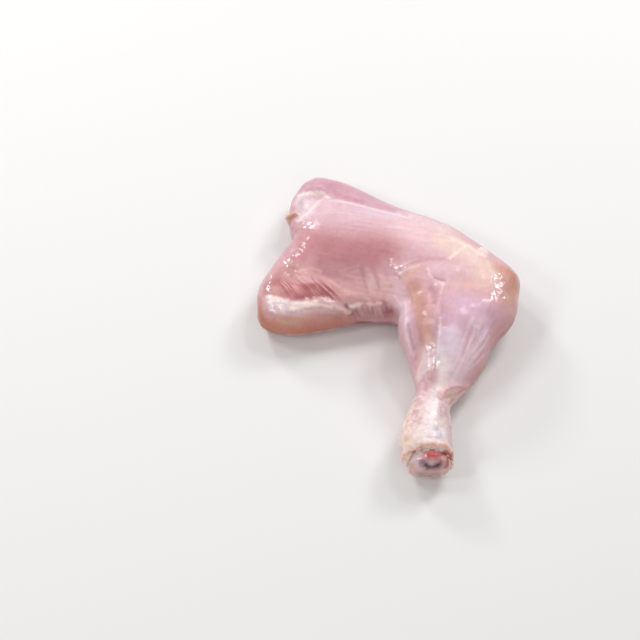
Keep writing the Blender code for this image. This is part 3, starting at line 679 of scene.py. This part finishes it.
# painted shade: darker next to the table
meat.wash((140, 58, 52), 0.75 * outer * np.clip((12 - z) / 9, 0, 1))
lined = np.clip(1.6 * (fine_lines - 0.55), 0, 1)
meat.lay_each([
    ((232, 196, 198), 0.4, 6, [(58, -14, 18), (50, -28, 14)], 2, 0, lined),
    # the ankle, where sinew and skin meet
    ((240, 228, 234), 0.95, 3, [(24.6, -32.7), (25.5, -36.2), (27.5, -39.7)], 3),
    ((255, 240, 238), 0.95, 3.4, [(26, -38.9), (26, -44.1), (24.5, -49.1), (22.3, -55)], 3),
    ((246, 226, 218), 0.6, 2, [(26, -38.9), (27, -42.4), (26, -45.7)], 2, 0.5),
    ((244, 222, 230), 0.8, 3.4, [(30.6, -37.4), (31.6, -41.3), (30.1, -44.9)]),
    ((246, 218, 224), 0.8, 4, [(39.3, -32.8, 26.9), (36.7, -37.5, 24.9), (34.2, -41.8, 22.4)]),
    ((248, 222, 224), 0.9, 3.8, [(17.3, -33.7), (16.3, -37.5, 23), (14.9, -42.1)]),
])
WHITE_SINEW = [(21.2, -33.6), (20.2, -36.5), (19.2, -39.4)]
meat.lay_each([
    ((250, 236, 240), 0.8, 2.4, WHITE_SINEW, 3, 0.8, np.clip(0.6 + crinkle, 0, 1)),
    ((214, 186, 198), 0.35, 2.4, WHITE_SINEW, 3, 0.6, np.clip(-0.1 - finer_crinkle, 0, 1)),
    ((248, 224, 222), 0.8, 0.8, [(16.8, -33.5, 26), (14.9, -35.8, 22.1), (14, -38.9),
        (13.4, -42.4, 17.6)], 2, 0.3),
    ((222, 180, 178), 0.7, 1.5, [(19.7, -41.3), (20.1, -44.8), (20.1, -47.5)], 2, 0.5),
])

# ---- The shank's skin ----
mottled = np.clip(0.35 + 1.2 * meat.clouds(2.6, 13) + 0.6 * specks, 0, 1)
meat.wash((242, 222, 216), on_shank)
meat.lay_each([
    ((247, 233, 233), 1, 4.6, [(22.5, -50.9), (20.7, -58.1), (18.7, -67), (17.3, -75.4), (16.6, -80.9)], 3),
    ((250, 226, 214), 0.8, 3.4, [(11.1, -55.1, 15.5), (8.4, -61.1, 15.9), (6.5, -69.2),
        (5.8, -76.7, 19.6)]),
    ((228, 204, 204), 0.8, 3.6, [(26.9, -58.1, 16.6), (28.2, -63.9, 14.9), (28.3, -71.4, 16.1),
        (27.7, -78.1, 19.2)]),
    ((222, 180, 188), 0.9, 3.6, [(15.4, -44), (14.2, -49.3), (12.1, -54.6, 16.6), (10.8, -61.5),
        (10.3, -69.6)], 3, 0.8, mottled),
    ((222, 190, 198), 0.8, 3.2, [(24.4, -53), (25.3, -57.9), (25.5, -63.3, 17.9)], 3, 0.8, mottled),
    ((210, 152, 166), 0.7, 0.9, [(22.6, -53.2), (23.1, -53.9)], 2, 0.2),
    ((208, 160, 170), 0.35, 1.6, [(10.8, -60.8), (12.1, -64), (12.4, -67.9)], 2, 1),
    ((212, 162, 172), 0.35, 1.6, [(17.2, -46.2), (18.1, -49.2), (18, -52.5)], 2, 1),
    ((240, 228, 236), 0.8, 2.8, [(20.4, -72.9), (22.2, -75.8), (23.9, -73.7)], 2, 0.8),
    ((188, 176, 194), 0.3, 0.8, [(20.8, -73.5), (22.5, -72.1)], 2, 0.3),
    ((192, 180, 198), 0.35, 0.8, [(21.6, -77.3), (23.1, -77.5), (24.2, -75.7)], 2, 0.3),
    ((226, 206, 226), 0.7, 1.6, [(22.5, -79.8), (23.9, -80.8)], 2, 0.4),
    ((244, 222, 186), 0.7, 2.4, [(7.1, -79.5, 20.7), (6.6, -82.5, 19.2), (7.1, -84.7, 17)], 2, 0.7),
    ((238, 196, 182), 0.5, 1, [(7.1, -67.5, 18.2), (6.8, -73.9), (6.2, -78.1)], 2, 0.5),
    ((255, 246, 244), 0.6, 1.3, [(22.4, -53.9), (20.5, -61.5), (18.5, -70.8)], 2, 0.6),
    # painted shade in the groove under the lip of the skin
    ((166, 126, 136), 0.45, 0.7, [(26.4, -51.5, 20.7), (27.9, -50, 21), (30.5, -48.4, 20.3),
        (33.8, -47.1, 18.1), (37.2, -45.7, 13.3)], 2, 0.2),
    ((240, 218, 224), 0.8, 0.6, [(25.9, -50.3), (28.5, -48.2), (31.6, -46.9), (34.7, -46.2)], 2, 0.2),
    ((255, 204, 202), 0.9, 3, [(26.5, -52.3, 18.6), (29.1, -49.8, 19.2), (32.9, -47.6, 15.5),
        (36.4, -45.7, 11.3)]),
])
for lobe in LOBES[:2] + LOBES[3:]:
    meat.lay((255, 220, 208), 1.0, 1.1, lobe, wander=0.4)
meat.lay_each([
    ((248, 216, 196), 0.6, 0.8, [(30.3, -51.4, 15), (31.4, -50.5, 14.4)], 2, 0.3),
    ((214, 148, 144), 0.7, 1.2, [(29.2, -53.7, 14.1), (30.4, -52, 13.2)], 2, 0.4),
    ((196, 132, 138), 0.7, 1.4, [(34.7, -46.8, 13.2), (36.7, -45.9, 13.6)], 2, 0.4),
    ((236, 190, 166), 0.6, 0.8, [(28.7, -54.8, 14), (27.6, -60.2, 15.4), (27.6, -64.5, 15.9)], 2, 0.4),
    # torn and bloodied at the cut
    ((255, 234, 222), 0.95, 1.9, TORN_EDGE, 3, 0.8),
    ((246, 204, 188), 0.4, 0.9, [(px, py - 0.6, pz - 0.8) for px, py, pz in TORN_EDGE], 2, 0.8),
    ((255, 240, 228), 0.8, 0.8, [(px, py + 0.8, pz + 0.4) for px, py, pz in TORN_EDGE], 2, 0.7),
    ((255, 212, 196), 0.6, 1.5, TORN_EDGE, 2, 1.2),
    ((240, 172, 152), 0.6, 0.6, TORN_EDGE, 2, 1.6),
    ((178, 92, 78), 0.9, 1.2, [(25, -83.8, 19.5), (27.6, -84.6, 16.5), (28.3, -85.6, 12),
        (27.6, -87, 8)], 2, 0.4),
    ((120, 84, 70), 0.8, 0.6, [(9.6, -83.4, 18.6), (10.4, -83.4, 19.2)]),
    # the scraps at the hip and the knee
    ((204, 146, 120), 1, 2, [(-52, 60.5, 17), (-50, 60, 18.5)], 3),
    ((250, 228, 212), 0.95, 1.5, [(-56, 60.5, 15), (-54.5, 61, 15)]),
    ((255, 240, 232), 0.9, 1.5, KNEE_SCRAP, 2, 0.3),
])

# ---- The underside: fascia and fat over the inner muscles ----
meat.wash((228, 190, 188), 0.8 * UNDER)
lifted = np.clip(z / 5, 0, 1)  # what is pressed flat is all one colour
meat.wash((242, 220, 212), 0.75 * UNDER * np.clip(0.3 + blotchy * lifted, 0, 1))
meat.wash((198, 142, 144), 0.6 * UNDER * lifted * np.clip(-0.2 - meat.clouds(14, 8), 0, 1))
meat.colour += (2.6 * blotchy + 2.2 * lumpy + 2.0 * specks)[:, None] * (1.0, 1.05, 0.95)
combed = 3.5 * (thigh_lines - 0.5) * (1 - on_drumstick) + 3.0 * (fine_lines - 0.5) * on_drumstick
meat.colour += combed[:, None]
PUCKER = 0.3  # millimetres between the top and the bottom of a pucker
CROTCH_SHINE = [(3.2, 23.2), (4.2, 20), (5.6, 15.9)]
puckers = 0.5 * meat.near(KNEE_SHINE, 5.5, 4) + 0.15 * meat.near(CROTCH_SHINE, 4, 3)
SINEW_SHINE = [(21.2, -33.6), (19.7, -36.5), (18.7, -39.4)]
puckers += 1.2 * meat.near(SINEW_SHINE, 4.5, 3) + 0.12 * meat.near(FAT_STRIP, 4, 3)
wet = puckers + 0.6 * meat.near(KNEE_SHINE, 6, 4) + meat.near(KNEE_RIM, 3, 3)
wet += 0.8 * meat.near([(-64.4, 11.9), (-64.9, 9.4)], 3, 3)
wet += meat.near(CROTCH_SHINE, 4.4, 4)
for dimple in DIMPLES:
    wet += meat.near(dimple, 2.1, 4)
wet += meat.near([(-43, 52.5), (-42.5, 51.2)], 3.2, 5)
in_bundles = meat.near(BUNDLE_PLACE, 6.5, 3) > 0.5
across = np.where(in_bundles, across_bundles, np.where(on_drumstick > 0.5, shin_across, thigh_across))
along = np.where(in_bundles, along_bundles, np.where(on_drumstick > 0.5, shin_along, thigh_along))
showing = np.abs(2 * on_drumstick - 1) ** 2 * np.abs(2 * meat.near(BUNDLE_PLACE, 6.5, 3) - 1)
showing *= 0.12 + 0.6 * in_bundles + 0.35 * meat.near([(43.6, -22.1), (39.3, -31.1), (35.2, -38.6)], 7, 3)
showing *= (1 - on_shank)
meat.finish(np.clip(wet, 0, 1), np.clip(puckers, 0, 1.2), (across, along, showing))


FIBRE_PITCH = (1.9, 0.06, 0)  # waves in a millimetre across the grain, and along it
FIBRE_RELIEF = 0.12
FLECKS, WRINKLES, PUCKERS, PORES, RIPPLES_IN_FILM = 420, 420, 480, 620, 1500  # in a metre
FLECK_SHADE, FIBRE_SHADE, WHITE = (0.80, 0.66, 0.68, 1), (0.72, 0.56, 0.60, 1), (1, 1, 1, 1)
FLESH_IOR, FILM_IOR = 1.38, 1.6
FILM_ROUGHNESS = 0.06
FLESH_GLOW = 0.35  # how much of the light goes into the flesh and comes out beside where it fell
GLOW_REACH = (1.0, 0.42, 0.32)  # red light goes furthest


def shader_of(material):
    material.use_nodes = True
    return material.node_tree.nodes, material.node_tree.links, material.node_tree.nodes["Principled BSDF"]


def wet_finish(name, gloss, film, depth, ripple, wrinkle, flecking=0.28, pores=0.0, fibrous=False):
    """Raw tissue under a wet film: colour from the tint, flecked, rippled, and where the surface says so
    puckered and wetter. Gloss is its roughness, film how much of it is wet all over, depth how far light goes
    in, and ripple, wrinkle and pores are heights, in millimetres."""
    material = bpy.data.materials.new(name)
    nodes, links, shader = shader_of(material)
    where = nodes.new("ShaderNodeTexCoord")

    def stored(kept_as, kind):
        """What the surface keeps at each point under this name."""
        attribute = nodes.new("ShaderNodeAttribute")
        attribute.attribute_name = kept_as
        return attribute.outputs[kind]

    def clouds_of(scale, detail):
        texture = nodes.new("ShaderNodeTexNoise")
        texture.inputs["Scale"].default_value = scale
        texture.inputs["Detail"].default_value = detail
        links.new(where.outputs["Object"], texture.inputs["Vector"])
        return texture.outputs["Fac"]

    def computed(operation, first, second):
        answer = nodes.new("ShaderNodeMath")
        answer.operation = operation
        answer.use_clamp = operation == "ADD"
        links.new(first, answer.inputs[0])
        if isinstance(second, float):
            answer.inputs[1].default_value = second
        else:
            links.new(second, answer.inputs[1])
        return answer.outputs["Value"]

    def darkened(colour, much, pattern, dark_to, light_from, shade):
        """The colour, darkened by a shade where the pattern is low."""
        ramp = nodes.new("ShaderNodeValToRGB")
        for mark, position, value in zip(ramp.color_ramp.elements, (dark_to, light_from), (shade, WHITE)):
            mark.position = position
            mark.color = value
        links.new(pattern, ramp.inputs["Fac"])
        mixed = nodes.new("ShaderNodeMix")
        mixed.data_type = "RGBA"
        mixed.blend_type = "MULTIPLY"
        if isinstance(much, float):
            mixed.inputs["Factor"].default_value = much
        else:
            links.new(much, mixed.inputs["Factor"])
        links.new(colour, mixed.inputs[6])
        links.new(ramp.outputs["Color"], mixed.inputs[7])
        return mixed.outputs[2]

    def raised(below, height, distance, sunk=False):
        """A relief so many millimetres high, on top of the one below it."""
        bump = nodes.new("ShaderNodeBump")
        bump.inputs["Distance"].default_value = distance * MM
        bump.invert = sunk
        links.new(height, bump.inputs["Height"])
        if below:
            links.new(below, bump.inputs["Normal"])
        return bump.outputs["Normal"]

    colour = darkened(stored("tint", "Color"), flecking, clouds_of(FLECKS, 6), 0.3, 0.62, FLECK_SHADE)
    gathered = computed("MULTIPLY", stored("pucker", "Fac"), clouds_of(PUCKERS, 1))
    relief = raised(None, clouds_of(RIPPLES_IN_FILM, 2), ripple)
    relief = raised(relief, clouds_of(WRINKLES, 2), wrinkle)
    relief = raised(relief, gathered, PUCKER)

    if fibrous:
        grain = stored("grain", "Vector")
        stretched = nodes.new("ShaderNodeVectorMath")
        stretched.operation = "MULTIPLY"
        stretched.inputs[1].default_value = FIBRE_PITCH
        links.new(grain, stretched.inputs[0])
        fibres = nodes.new("ShaderNodeTexNoise")
        fibres.inputs["Scale"].default_value = 1.0
        fibres.inputs["Detail"].default_value = 3
        links.new(stretched.outputs["Vector"], fibres.inputs["Vector"])
        amount = nodes.new("ShaderNodeSeparateXYZ")
        links.new(grain, amount.inputs["Vector"])
        showing = amount.outputs["Z"]
        colour = darkened(colour, showing, fibres.outputs["Fac"], 0.36, 0.5, FIBRE_SHADE)
        relief = raised(relief, computed("MULTIPLY", fibres.outputs["Fac"], showing), FIBRE_RELIEF)
    if pores:
        cells = nodes.new("ShaderNodeTexVoronoi")
        cells.inputs["Scale"].default_value = PORES
        links.new(where.outputs["Object"], cells.inputs["Vector"])
        relief = raised(relief, cells.outputs["Distance"], pores, sunk=True)

    links.new(relief, shader.inputs["Normal"])
    links.new(relief, shader.inputs["Coat Normal"])
    links.new(colour, shader.inputs["Base Color"])
    links.new(computed("ADD", stored("wet", "Fac"), film), shader.inputs["Coat Weight"])
    for setting, value in (
        ("Roughness", gloss),
        ("IOR", FLESH_IOR),
        ("Subsurface Weight", FLESH_GLOW),
        ("Subsurface Radius", GLOW_REACH),
        ("Subsurface Scale", depth * MM),
        ("Coat Roughness", FILM_ROUGHNESS),
        ("Coat IOR", FILM_IOR),
    ):
        shader.inputs[setting].default_value = value
    return material


meat_finish = wet_finish("raw_meat", gloss=0.42, film=0.16, depth=1.4, ripple=0.012, wrinkle=0.06,
    fibrous=True)
meat_piece.data.materials.append(meat_finish)
skin_finish = wet_finish("shank_skin", gloss=0.5, film=0.25, depth=1.2, ripple=0.03, wrinkle=0.16,
    flecking=0.62, pores=0.16)
meat_piece.data.materials.append(skin_finish)
for face in meat_piece.data.polygons:
    face.material_index = int(on_shank[face.vertices[0]] > 0.5)
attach(meat_piece, "root")
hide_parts("leg_meat")

# ----------------------------------------------------------
# The knuckle: the gristle-capped end of the shank bone that shows where the foot was cut off, two rounded
# heads with a groove between them, bloodshot at the top.
# ----------------------------------------------------------
KNUCKLE_GRAIN = 0.45
knuckle_piece = finer_copy("shank_bone", "knuckle", KNUCKLE_GRAIN, 6)
bone = Surface(knuckle_piece, (222, 184, 182), INWARD)
bone.lift += 0.12 * bone.clouds(4, 1) + 0.08 * bone.clouds(1.6, 2)
bone.lift += 0.55 * np.clip(bone.out[:, 1] + 0.9, 0, 1)  # closer to the skin all round
bone.push_each([
    (-0.6, 2.4, [(18.2, 18.5), (18.2, 12), (18.4, 8)]),
    (0.7, 3.2, [(12.5, 15), (12.5, 9)]),
    (0.6, 3.2, [(24, 15), (24, 9)]),
    (-0.7, 1.3, [(15.2, -89.7, 17.1), (17.7, -89.7, 15.2), (20.1, -89.9, 15.5),
        (22.5, -89.5, 16.9)], 2, 0.4),
    (0.8, 1.8, [(17.5, -86.7, 20.7), (20.4, -86.6, 20.5)]),
])

bone.lay_each([
    ((184, 132, 124), 0.8, 2.6, [(13.1, -91.6, 10.4), (17.3, -90.6, 6.3), (21.4, -91.4, 9.9)]),
    ((214, 172, 166), 0.8, 2, [(14.8, -91.3, 14), (18.4, -90.7, 11.8), (21.6, -91.2, 13.8)], 2, 0.6),
    ((226, 202, 208), 0.9, 2.6, [(10.9, -86.3, 18.1), (11.3, -89, 17.9), (12.8, -90.9, 16.3)], 2, 0.5),
    ((226, 196, 196), 0.7, 1.4, [(12.4, -84.2, 19.2), (14.2, -86, 19.6), (15.6, -88.3, 19.7)], 2, 0.4),
    ((224, 158, 130), 0.7, 1.1, [(6.7, -85.1, 15.8), (7.7, -86.2, 13.7), (9, -89.4, 14.6)], 2, 0.5),
    ((206, 112, 110), 0.9, 2, [(16.1, -85.8, 20.2), (19, -85.4, 20.5), (22.5, -86, 19.5)], 2, 0.5),
    ((196, 66, 68), 0.95, 1.3, [(17.5, -86.7, 20.7), (20.4, -86.6, 20.5)], 2, 0.3),
    # painted shade in the groove between the two heads, darkest at its two deepest spots
    ((148, 104, 120), 0.9, 2, [(14.6, -89.7, 18.1), (16.7, -90, 15.6), (19.7, -90.1, 14.8),
        (23, -89.6, 17)], 2, 0.7),
    ((84, 50, 62), 0.95, 1, [(15.2, -89.7, 17.1), (17.2, -89.9, 15.4)], 2, 0.7),
    ((84, 50, 62), 0.95, 1, [(19.7, -89.8, 15.4), (22, -89.5, 16.8)], 2, 0.7),
    ((164, 78, 64), 0.9, 1.2, [(25, -84.3, 19.4), (26.6, -85.2, 17), (26.5, -88.3, 16.6),
        (25.5, -90.3, 15.1)], 2, 0.4),
    ((232, 176, 160), 0.6, 0.8, [(23.9, -87.3, 18.9), (24.4, -89.4, 17.6), (23.5, -90.9, 15.3)], 2, 0.4),
])
bone.colour += (3.5 * bone.ragged)[:, None]
bone.finish()
knuckle_finish = wet_finish("gristle", gloss=0.35, film=0.7, depth=1.6, ripple=0.015, wrinkle=0.05)
knuckle_piece.data.materials.append(knuckle_finish)
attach(knuckle_piece, "root")
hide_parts("shank_bone")

# ----------------------------------------------------------
# The torn collar: the frayed edge of the shank's skin, which curls in over the knuckle and closes the cut.
# ----------------------------------------------------------
COLLAR_CENTRE = (18.2, -86.6, 11.2)
COLLAR_HALF = (9.8, 9.0)  # half of its width, and of its height along the cut
COLLAR_THICK = 0.85
CUT_LEAN = math.radians(25)
COLLAR_SAG = 2.4  # how much lower it lies at the bottom of the cut
FLAP_TURN, FLAP_WIDTH = -2.45, 0.35  # radians round the collar, to the flap at the lower left
COLLAR_GRAIN = 0.3
bpy.ops.object.select_all(action="DESELECT")
bpy.ops.mesh.primitive_torus_add(
    major_segments=180, minor_segments=14, major_radius=COLLAR_HALF[0] * MM, minor_radius=COLLAR_THICK * MM
)
collar_piece = bpy.context.object
collar_piece.name = "torn_collar"
bpy.ops.object.mode_set(mode="EDIT")
bpy.ops.mesh.select_all(action="SELECT")
bpy.ops.transform.resize(value=(1, COLLAR_HALF[1] / COLLAR_HALF[0], 1))
bpy.ops.object.mode_set(mode="OBJECT")
for v in collar_piece.data.vertices:
    turn = math.atan2(v.co.y, v.co.x)
    frayed = noise.noise((1.3 * math.cos(turn), 1.3 * math.sin(turn), 4.2))
    frill = noise.noise((3.4 * math.cos(turn), 3.4 * math.sin(turn), 1.7))
    crimp = noise.noise((6 * math.cos(turn), 6 * math.sin(turn), 0.6))
    flap = math.exp(-(((turn - FLAP_TURN) / FLAP_WIDTH) ** 2))
    ring = Vector((v.co.x, v.co.y, 0))
    v.co += ring.normalized() * (0.7 * frayed + 0.5 * frill + 0.8 * crimp + 1.4 * flap) * MM
    v.co.z += (0.6 * frill + 0.5 * frayed + 1.0 * crimp) * MM
    v.co.z -= COLLAR_SAG * max(0.0, -math.sin(turn)) ** 2 * MM
    back = v.co.y * math.sin(CUT_LEAN) - v.co.z * math.cos(CUT_LEAN)
    height = v.co.y * math.cos(CUT_LEAN) + v.co.z * math.sin(CUT_LEAN)
    v.co = Vector((v.co.x, back, height)) + Vector(COLLAR_CENTRE) * MM
bpy.ops.object.mode_set(mode="EDIT")
bpy.ops.mesh.normals_make_consistent(inside=False)
bpy.ops.object.mode_set(mode="OBJECT")
even_out(collar_piece, COLLAR_GRAIN, 6)
collar = Surface(collar_piece, (252, 218, 204), INWARD)
collar.lift += 0.45 * collar.clouds(4.5, 6) + 0.22 * collar.clouds(1.7, 1) + 0.1 * collar.clouds(0.8, 2)
collar.wash((255, 240, 230), np.clip(collar.clouds(2.2, 3), 0, 1))
collar.wash((230, 162, 146), np.clip(-0.1 - collar.clouds(2.0, 4), 0, 0.75))
collar.lay_each([
    ((222, 158, 134), 0.7, 1.6, [(7.5, -83, 20), (6.1, -84.6, 16.8), (5.8, -85.7, 12.7)], 2, 0.5),
    ((226, 160, 128), 0.7, 0.5, [(5.2, -84.4, 15.4), (7.2, -86.2, 14.7), (9.5, -89.6, 14.9)], 2, 0.4),
    ((196, 112, 98), 0.75, 0.9, [(25.4, -84.1, 20), (27.1, -84.7, 17.1), (27.7, -86.2, 14.6),
        (26.5, -89.4, 15.6)], 2, 0.4),
    ((250, 228, 206), 0.9, 0.8, [(25, -84.3, 19.4), (25.5, -85.6, 17.6), (25.4, -87.8, 17.7)], 2, 0.3),
])
collar.finish()
collar_finish = wet_finish("torn_skin", gloss=0.45, film=0.5, depth=1.5, ripple=0.03, wrinkle=0.06)
collar_piece.data.materials.append(collar_finish)
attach(collar_piece, "root")

# ----------------------------------------------------------
# The stage: a plain pale table under two windows and a few lamps, seen from a standing cook's height. The
# five small lamps are set so that the wet patches shine, and the two wide ones fill in.
# ----------------------------------------------------------
TABLE_SIZE, TABLE_TOP = 6, -0.0001  # a hair below the leg
bpy.ops.mesh.primitive_plane_add(size=TABLE_SIZE, location=(0, 0, 0))
table = bpy.context.object
table.name = "table"
for corner in table.data.vertices:
    corner.co.z = TABLE_TOP
pale = bpy.data.materials.new("pale_table")
nodes, links, shader = shader_of(pale)
shader.inputs["Base Color"].default_value = (0.84, 0.835, 0.825, 1)
shader.inputs["Roughness"].default_value = 0.7
table.data.materials.append(pale)

LAMPS_AWAY = 1.1  # metres from the leg
LAMPS = (  # turned from the far side toward +X and raised, in degrees; their width and watts
    ("window", -35, 30, 0.19, 2.6),
    ("side_lamp", 43, 39, 0.24, 3.2),
    ("high_side_lamp", 36, 56, 0.2, 1.7),
    ("high_window", -65, 52, 0.25, 1.9),
    ("left_lamp", -112, 44, 0.19, 1.6),
    ("overhead", -8, 72, 0.9, 0.5),
    ("front_fill", 165, 50, 0.9, 1.6),
)
for name, turn, height, size, watts in LAMPS:
    a, e = math.radians(turn), math.radians(height)
    place = LAMPS_AWAY * Vector((math.sin(a) * math.cos(e), math.cos(a) * math.cos(e), math.sin(e)))
    light = bpy.data.objects.new(name, bpy.data.lights.new(name, "AREA"))
    bpy.context.scene.collection.objects.link(light)
    light.data.shape = "SQUARE"
    light.data.size = size
    light.data.energy = watts
    light.location = place
    light.rotation_euler = (-place).to_track_quat("-Z", "Y").to_euler()
SKY_STRENGTH = 0.335
sky = bpy.data.worlds.new("sky")
bpy.context.scene.world = sky
sky.use_nodes = True
sky.node_tree.nodes["Background"].inputs["Color"].default_value = (1, 1, 1, 1)
sky.node_tree.nodes["Background"].inputs["Strength"].default_value = SKY_STRENGTH
bpy.context.scene.view_settings.view_transform = "Standard"

CAMERA_HEIGHT = math.radians(56.8)  # above the table
CAMERA_AWAY = 0.8
LENS, FILM_WIDTH = 85, 36  # millimetres
AIM = Vector((-0.0358, 0.0051, 0))
eye = bpy.data.objects.new("camera", bpy.data.cameras.new("camera"))
bpy.context.scene.collection.objects.link(eye)
eye.data.lens = LENS
eye.data.sensor_width = FILM_WIDTH
eye.location = AIM + CAMERA_AWAY * Vector((0, -math.cos(CAMERA_HEIGHT), math.sin(CAMERA_HEIGHT)))
eye.rotation_euler = (math.pi / 2 - CAMERA_HEIGHT, 0, 0)
bpy.context.scene.camera = eye
